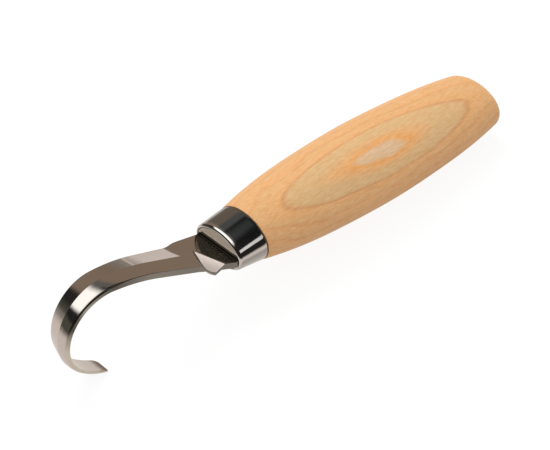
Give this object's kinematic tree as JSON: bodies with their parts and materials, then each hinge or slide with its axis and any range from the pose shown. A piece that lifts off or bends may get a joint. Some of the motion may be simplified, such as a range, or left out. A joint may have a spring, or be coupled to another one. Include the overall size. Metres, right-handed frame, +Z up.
{
  "type": "hook knife",
  "caption": "Woodcarving hook knife: a curled steel blade ground on one edge, an oval steel ferrule and a barrel-shaped wooden handle.",
  "frame": {"origin": "middle of the bounding box on the surface the knife lies on", "axes": "+X along the knife towards the blade, +Z up, hook curling down, -Y the cutting-edge side"},
  "size_m": [0.1696, 0.0318, 0.0326],
  "materials": {
    "blade_steel": "ground and polished stainless steel",
    "ferrule_chrome": "bright plated drawn steel",
    "handle_wood": "oiled birch, growth rings showing",
    "bedding_resin": "dark set adhesive"
  },
  "bodies": {
    "root": {"blade": "blade_steel", "ferrule": "ferrule_chrome", "handle": "handle_wood", "tang_bedding": "bedding_resin"}
  },
  "joints": []
}
